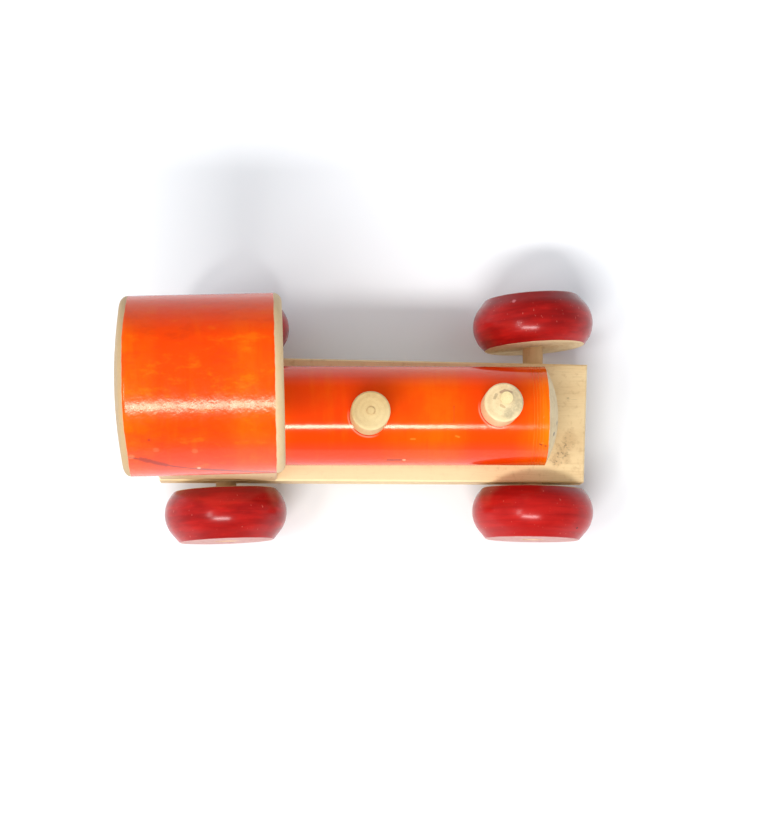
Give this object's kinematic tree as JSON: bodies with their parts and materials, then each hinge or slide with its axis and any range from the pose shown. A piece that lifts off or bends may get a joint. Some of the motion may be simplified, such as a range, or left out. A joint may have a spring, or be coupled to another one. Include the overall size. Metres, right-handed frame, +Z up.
{
  "type": "wooden toy locomotive",
  "caption": "Wooden push-along toy locomotive: lacquered boiler with two pegs, half-round cab roof on posts, plank chassis on turning wheelsets.",
  "frame": {"origin": "on the floor, under the middle of the toy's bounding box", "axes": "+X towards the front of the locomotive, +Y to its left, +Z up"},
  "size_m": [0.1741, 0.0957, 0.1368],
  "materials": {
    "bare_wood": "satin",
    "dowel_wood": "satin",
    "orange_lacquer": "gloss",
    "red_lacquer": "gloss"
  },
  "bodies": {
    "chassis": {"chassis_plank": "bare_wood", "boiler": "orange_lacquer", "steam_dome": "bare_wood", "chimney": "bare_wood", "chimney_pin": "dowel_wood", "cab_block": "bare_wood", "cab_post_front_left": "bare_wood", "cab_post_front_right": "bare_wood", "cab_post_rear_left": "bare_wood", "cab_post_rear_right": "bare_wood", "cab_roof": "orange_lacquer", "block_pin_front": "dowel_wood", "block_pin_rear": "dowel_wood", "boiler_pin_front": "dowel_wood", "boiler_pin_rear": "dowel_wood"},
    "front_wheels": {"front_axle": "dowel_wood", "front_left_wheel": "red_lacquer", "front_right_wheel": "red_lacquer"},
    "rear_wheels": {"rear_axle": "dowel_wood", "rear_left_wheel": "red_lacquer", "rear_right_wheel": "red_lacquer"}
  },
  "joints": [
    {"name": "front_wheels_turn", "type": "hinge", "parent": "chassis", "child": "front_wheels", "pos_m": [0.06435, -0.00167, 0.0227], "axis": [0, 1, 0], "continuous": true},
    {"name": "rear_wheels_turn", "type": "hinge", "parent": "chassis", "child": "rear_wheels", "pos_m": [-0.05065, -0.00167, 0.0227], "axis": [0, 1, 0], "continuous": true}
  ]
}
